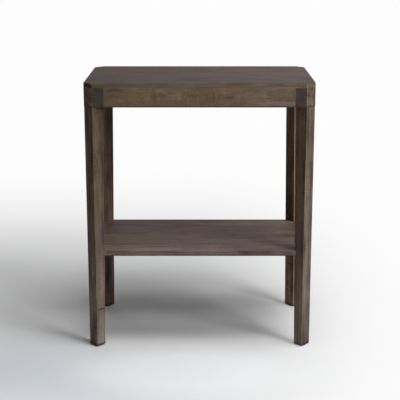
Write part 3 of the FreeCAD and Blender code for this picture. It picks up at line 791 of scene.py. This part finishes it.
def make_board_tree(sizes):
    tree, given, out = new_shape("clipped board", sizes)
    low, high = given["Low"], given["High"]
    inputs = {"Curve": rectangle(tree, given), "Count": 1, "Radius": given["Clip"]}
    clipped = add(tree, "GeometryNodeFilletCurve", inputs, mode="POLY")
    face = moved(tree, add(tree, "GeometryNodeFillCurve", {"Curve": clipped}, mode="NGONS"), low)
    inputs = {"Mesh": face, "Offset": combine(tree, z=high - low), "Individual": False}
    raised = add(tree, "GeometryNodeExtrudeMesh", inputs)
    under = add(tree, "GeometryNodeFlipFaces", {"Mesh": face})
    inputs = {"Geometry": joined(tree, under, raised), "Distance": SAME_POINT}
    closed = add(tree, "GeometryNodeMergeByDistance", inputs)

    _, _, height = own_place(tree)
    upper = calc(tree, "GREATER_THAN", height, high - NEAR)
    lower = calc(tree, "LESS_THAN", height, low + NEAR)
    weight = upper + lower * given["Lower Edge"] + (1.0 - upper - lower) * given["Corner Edge"]
    inputs = {"Geometry": closed, "Name": "bevel_weight_edge", "Value": weight}
    weighted = add(tree, "GeometryNodeStoreNamedAttribute", inputs, domain="EDGE")
    made_real(tree, out, weighted, given["Wood"])
    return tree


top_sizes = {
    "Width": 2 * HALF_WIDTH, "Depth": 2 * HALF_DEPTH, "Clip": CLIP, "Low": top_low.z, "High": HEIGHT,
    "Lower Edge": LOWER_SHARE, "Corner Edge": CORNER_SHARE, "Wood": wood["top_board"]}
grow("top_board_shaped", "top_board", make_board_tree(top_sizes), top_sizes, EDGE_ROUND)

# %% [markdown]
# ## Screws and bolts
#
# A screw is formed from wire: a rod, a thread rolled into it, a head pressed on one end. The tree
# does it in that order. A thread is a wave that climbs as it goes round, so at each point of the
# rod we take its height in pitches plus its turn round the axis, and the fraction of that says
# whether the point is on a crest or in a valley. One shank tree serves both fasteners: the pan
# headed screws that hold the top from below and the hexagon headed bolts that hold the legs.

# %% The threaded shank
POINT_WIDTH = 0.12


def make_shank_tree():
    tree, given, out = new_shape("threaded shank", {
        "Length": 0.03, "Radius": 0.002, "Core": 0.0014, "Pitch": 0.0018, "Plain Length": 0.01,
        "Point Length": 0.004, "Sides": 20, "Steps": 120})
    length, radius, pitch = given["Length"], given["Radius"], given["Pitch"]
    rod = moved(tree, cylinder(tree, given["Sides"], given["Steps"], radius, length), length * -0.5)
    x, y, z = own_place(tree)
    climb = calc(tree, "FRACT", z / pitch + calc(tree, "ARCTAN2", y, x) / (2 * math.pi))
    crest = abs(climb * 2.0 - 1.0) ** 2.0
    below = z * -1.0
    threaded = remap(tree, below, given["Plain Length"], given["Plain Length"] + pitch)
    cut = (radius - given["Core"]) * (1.0 - crest) * threaded
    pointed = remap(tree, (length - below) / given["Point Length"], 0.0, 1.0, POINT_WIDTH, 1.0, "LINEAR")
    plug(tree, out, drawn_in(tree, rod, (radius - cut) * pointed / radius))
    return tree


shank_tree = make_shank_tree()
print("shank tree:", len(shank_tree.nodes), "nodes")

# %% [markdown]
# The two heads differ. A pan head is a low dome with a cross pressed into it, and a hexagon head is a
# six-sided bar with the corners of its end turned off. The fastener tree takes either head, joins it
# to the shank, and sets four of them at the corners of a rectangle. No fitter stops every screw at
# the same turn, so each gets its own.

# %% The heads
DOME_SIDES, DOME_STEPS, CONE_SIDES = 32, 8, 48
DOME_FULL, CROSS_LONG, CROSS_WIDE, CROSS_TALL = 0.92, 1.1, 0.24, 1.2
TURNED_TOP, TURNED_SLOPE = 0.86, 1.6


def pan_head(tree, given):
    """A low dome with a cross in it, its bearing face at z = 0."""
    wide, tall = given["Head Radius"], given["Head Height"]
    dome = moved(tree, cylinder(tree, DOME_SIDES, DOME_STEPS, wide, tall), tall * 0.5)
    _, _, z = own_place(tree)
    dome = drawn_in(tree, dome, calc(tree, "SQRT", 1.0 - (z / tall * DOME_FULL) ** 4.0))
    recess = add(tree, "GeometryNodeMeshBoolean", {0: dome}, operation="DIFFERENCE", solver="EXACT")
    long, short = wide * CROSS_LONG, wide * CROSS_WIDE
    for x, y in ((long, short), (short, long)):
        bar = add(tree, "GeometryNodeMeshCube", {"Size": combine(tree, x, y, tall * CROSS_TALL)})
        plug(tree, recess.inputs[1], moved(tree, bar, tall))
    return recess


def hexagon_head(tree, given):
    """A hexagon with the corners of its end turned off, its bearing face at z = 0."""
    wide, tall = given["Head Radius"], given["Head Height"]
    bar = moved(tree, cylinder(tree, 6, 1, wide, tall), tall * 0.5)
    inputs = {"Vertices": CONE_SIDES, "Depth": tall, "Radius Top": wide * TURNED_TOP,
              "Radius Bottom": tall * TURNED_SLOPE + wide}
    turned = add(tree, "GeometryNodeMeshBoolean", {1: bar}, operation="INTERSECT", solver="EXACT")
    plug(tree, turned.inputs[1], add(tree, "GeometryNodeMeshCone", inputs))
    return turned


print("heads:", pan_head.__name__, hexagon_head.__name__)

# %% Four fasteners at the corners of a rectangle
def make_fastener_tree(name, head, sizes):
    tree, given, out = new_shape(name, sizes)
    shank = add(tree, "GeometryNodeGroup", node_tree=shank_tree)
    for socket in shank.inputs:
        plug(tree, socket, given[socket.name])
    whole = joined(tree, shank, head(tree, given))
    chance = {3: given["Spread of Turns"], "Seed": given["Seed"]}
    stop = add(tree, "FunctionNodeRandomValue", chance).outputs[1]
    way = combine(tree, x=given["Upside Down"], z=stop)
    made_real(tree, out, four_at_corners(tree, given, whole, way), given["Metal"])
    return tree


def grow_fasteners(node, name, head, head_down, sizes):
    """Four fasteners in place of a node's plain ones, with their heads below or above."""
    low, high = quarter_box(node)
    head_tall = sizes["Head Height"]
    half_turn = math.pi if head_down else 0.0
    sizes = {
        "Length": high.z - low.z - head_tall, "Head Radius": (high.x - low.x) / 2,
        "Width": low.x + high.x, "Depth": low.y + high.y,
        "Level": low.z + head_tall if head_down else high.z - head_tall,
        "Upside Down": half_turn, "Spread of Turns": 2 * half_turn, "Seed": 4, "Metal": steel, **sizes}
    grow(node + "_threaded", node, make_fastener_tree(name, head, sizes), sizes)


grow_fasteners("top_screws", "pan headed screws", pan_head, True, {
    "Radius": 0.002, "Core": 0.0013, "Pitch": 0.0018, "Plain Length": 0.008, "Point Length": 0.005,
    "Head Height": 0.0026, "Sides": 16, "Steps": 128})
grow_fasteners("leg_bolts", "hexagon headed bolts", hexagon_head, False, {
    "Radius": 0.004, "Core": 0.0028, "Pitch": 0.0035, "Plain Length": 0.034, "Point Length": 0.007,
    "Head Height": 0.0053, "Sides": 24, "Steps": 180})

# %% [markdown]
# ## Dowels
#
# A dowel for gluing is not a smooth rod. It has flutes along it that let the air and the spare glue
# out of the bore, and small bevels on its ends that help it to start. Both are again rules on the
# radius of a cylinder. Each dowel points along its own diagonal, from the leg to the shelf.

# %% Fluted dowels on the diagonals
DOWEL_SIDES, DOWEL_STEPS, FLUTE_SLOPE = 48, 36, (0.1, 0.8)


def make_dowel_tree(sizes):
    tree, given, out = new_shape("fluted dowels", sizes)
    length, radius = given["Length"], given["Radius"]
    x, y, z = own_place(tree)
    wave = calc(tree, "COSINE", calc(tree, "ARCTAN2", y, x) * given["Flutes"])
    flute = remap(tree, wave, *FLUTE_SLOPE) * given["Flute Depth"]
    bevel = calc(tree, "MAXIMUM", given["End Bevel"] - (length * 0.5 - abs(z)), 0.0)
    rod = cylinder(tree, DOWEL_SIDES, DOWEL_STEPS, radius, length)
    rod = drawn_in(tree, rod, (radius - (flute + bevel)) / radius)
    corner = vector(tree, "SIGN", add(tree, "GeometryNodeInputPosition"))
    way = add(tree, "FunctionNodeAlignRotationToVector", {"Vector": corner}, axis="Z")
    made_real(tree, out, four_at_corners(tree, given, rod, way), given["Wood"])
    return tree


low, high = quarter_box("shelf_dowels")
dowel_radius = (high.z - low.z) / 2
dowel_sizes = {
    "Length": (high.x - low.x) * math.sqrt(2.0) - 2 * dowel_radius, "Radius": dowel_radius, "Flutes": 12,
    "Flute Depth": 0.00025, "End Bevel": 0.0008, "Width": low.x + high.x, "Depth": low.y + high.y,
    "Level": (low.z + high.z) / 2, "Wood": beech}
grow("shelf_dowels_fluted", "shelf_dowels", make_dowel_tree(dowel_sizes), dowel_sizes)

# %% [markdown]
# ## The floor
#
# The studio floor is one wide sheet of pale paper. It takes the lamps' light and the table's shadow.
# Away from the table it is bright because more lamps shine on it there, in the studio. We don't want
# those lamps on the wood, so the camera sees the paper pass into white by itself: a Light Path node
# tells a ray that comes from the camera from one that carries light, and only the first finds the
# glow. It starts close on the right, where the light comes from, and later on the left. Wide soft
# patches of painted light and shade make the paper cooler and dimmer on the left of the front, as
# daylight from a window would, lighter in front of the table and on its left, and darker between the
# right legs, a painted shadow. Seen from below, the paper is clear, so that the underside of the
# table can be looked at too.

# %% Floor
GLOW_CENTRE = (-0.054, 0.01, 0.0)
GLOW_RIGHT, GLOW_LEFT, GLOW_BACK, GLOW_FRONT = 0.235, 1.2, 0.524, 0.416
GLOW_START, GLOW_RISE = 0.768, 1.5
WHITE = (0.985, 0.985, 0.985, 1.0)
PAPER = (0.8, 0.805, 0.815, 1.0)
# painted light and shade on the paper: centre, reach and colour of a cool dim patch, two lighter patches
# and a painted shadow
PAINTED_FLOOR_LIGHT_AND_SHADE = [((-0.42, -0.44, 0.0), (0.46, 0.42, 1.0), (0.7, 0.735, 0.775, 1.0)),
                 ((-0.03, -0.29, 0.0), (0.32, 0.19, 1.0), (0.91, 0.92, 0.93, 1.0)),
                 ((-0.42, 0.24, 0.0), (0.3, 0.26, 1.0), (0.89, 0.895, 0.905, 1.0)),
                 ((0.14, 0.15, 0.0), (0.2, 0.16, 1.0), (0.66, 0.665, 0.67, 1.0))]
FLOOR_LEVEL, FLOOR_REACH = -0.0001, 40.0


def seen_by_camera(tree):
    """1 for a ray that shows the background, in a picture, a reflection or through glass."""
    rays = add(tree, "ShaderNodeLightPath").outputs
    shown = calc(tree, "MAXIMUM", rays["Is Camera Ray"], rays["Is Glossy Ray"])
    return calc(tree, "MAXIMUM", shown, rays["Is Transmission Ray"])


mesh = bpy.data.meshes.new("studio_floor")
edge, level = FLOOR_REACH, FLOOR_LEVEL
corners = [(-edge, -edge, level), (edge, -edge, level), (edge, edge, level), (-edge, edge, level)]
mesh.from_pydata(corners, [], [(0, 1, 2, 3)])
floor = bpy.data.objects.new("studio_floor", mesh)
scene.collection.objects.link(floor)

material, tree = new_material("studio paper")
place = add(tree, "ShaderNodeTexCoord").outputs["Object"]
x, y, _ = split(tree, vector(tree, "SUBTRACT", place, GLOW_CENTRE)).values()
aside = calc(tree, "MAXIMUM", x / GLOW_RIGHT, x / -GLOW_LEFT)
ahead = calc(tree, "MAXIMUM", y / GLOW_BACK, y / -GLOW_FRONT)
past = calc(tree, "MAXIMUM", calc(tree, "SQRT", aside ** 2.0 + ahead ** 2.0) - GLOW_START, 0.0)
shaded = calc(tree, "EXPONENT", past ** GLOW_RISE * -1.0)
tone = PAPER
for centre, spread, colour in PAINTED_FLOOR_LIGHT_AND_SHADE:
    mask = use_group(tree, mark_group, Position=place, Centre=centre, Size=spread)["Mask"]
    tone = mix(tree, mask, tone, colour)
paper = add(tree, "ShaderNodeBsdfDiffuse", {"Color": tone})
glow = add(tree, "ShaderNodeEmission", {"Color": WHITE, "Strength": 1.0})
white = (1.0 - shaded) * seen_by_camera(tree)
lit = add(tree, "ShaderNodeMixShader", {0: white, 1: paper, 2: glow})
clear = add(tree, "ShaderNodeBsdfTransparent")
below = add(tree, "ShaderNodeNewGeometry").outputs["Backfacing"]
either = add(tree, "ShaderNodeMixShader", {0: below, 1: lit, 2: clear})
add(tree, "ShaderNodeOutputMaterial", {"Surface": either})
mesh.materials.append(material)
print("paper floor", [round(v, 1) for v in floor.dimensions])

# %% [markdown]
# ## Lamps
#
# A furniture studio uses soft boxes: large white squares, since a large lamp gives a soft shadow.
# One square lamp high up gives most of the light and the soft shadow under the shelf. A smaller one,
# low on the right of the front, opens the front faces and draws the legs' own shadows on the floor.
# One on the right picks out the right faces of the legs, and a weak one behind keeps the back from
# going black. A lamp's place is given as a photographer would say it: how far round the table, how
# high, and how far away.
#
# Points, suns or an image of a sky would light the table too, but a point makes hard shadows and a
# sky lights every side alike, which hides the taper of the legs.

# %% Lamps
LIT_POINT = Vector((0.0, 0.0, 0.3))


def area_light(name, round_by, up_by, away, size, power):
    """A square lamp: degrees to the right of the front, degrees up, metres away, its size and watts."""
    data = bpy.data.lights.new(name, "AREA")
    data.shape = "SQUARE"
    data.size, data.energy = size, power
    lamp = bpy.data.objects.new(name, data)
    turn, lift = math.radians(round_by), math.radians(up_by)
    outward = Vector((math.cos(lift) * math.sin(turn), -math.cos(lift) * math.cos(turn), math.sin(lift)))
    lamp.location = LIT_POINT + away * outward
    lamp.rotation_euler = (-outward).to_track_quat("-Z", "Y").to_euler()
    scene.collection.objects.link(lamp)
    return lamp


area_light("top_light", 28, 77, 3.2, 1.6, 52.0)
area_light("front_light", 47, 26, 2.3, 0.75, 28.0)
area_light("right_light", 80, 50, 2.4, 1.2, 12.3)
back_light = area_light("back_light", 195, 45, 2.6, 1.6, 7.2)
back_light.visible_glossy = False

# %% [markdown]
# ## The room
#
# Light that has bounced off the walls of a studio reaches everything a little, from all sides. The
# world stands for it, dim. To the camera, to gloss and through glass the same world is white paper.
# The view transform is Standard, so that a colour comes out as it is written.

# %% The room's light
ROOM_LIGHT = 0.0275
world = bpy.data.worlds.new("studio")
world.use_nodes = True
tree = world.node_tree
tree.nodes.clear()
dim = add(tree, "ShaderNodeBackground", {"Color": (1.0, 1.0, 1.0, 1.0), "Strength": ROOM_LIGHT})
bright = add(tree, "ShaderNodeBackground", {"Color": WHITE, "Strength": 1.0})
both = add(tree, "ShaderNodeMixShader", {0: seen_by_camera(tree), 1: dim, 2: bright})
add(tree, "ShaderNodeOutputWorld", {"Surface": both})
scene.world = world
scene.view_settings.view_transform = "Standard"
print("room light", ROOM_LIGHT)

# %% [markdown]
# ## Camera
#
# A long lens from about two and a half metres keeps the table's proportions, as a catalogue shows
# them: near and far legs are nearly the same size. The camera stands above the top and looks down
# a little, so that the top and the shelf show their faces. A shifted lens would keep the legs
# upright in the picture, but the shift would stay in every other view and push the table out of it.

# %% Camera
LENS, SENSOR = 96.9, 36.0
CAMERA_PLACE, LOOKS_DOWN = (0.001, -2.475, 0.936), 14.17
NEAREST, FARTHEST = 0.05, 100.0

lens = bpy.data.cameras.new("camera")
lens.lens, lens.sensor_width = LENS, SENSOR
lens.clip_start, lens.clip_end = NEAREST, FARTHEST
camera = bpy.data.objects.new("camera", lens)
camera.location = CAMERA_PLACE
camera.rotation_euler = (math.radians(90.0 - LOOKS_DOWN), 0.0, 0.0)
scene.collection.objects.link(camera)
scene.camera = camera
print("camera at", CAMERA_PLACE, "lens", LENS, "mm")
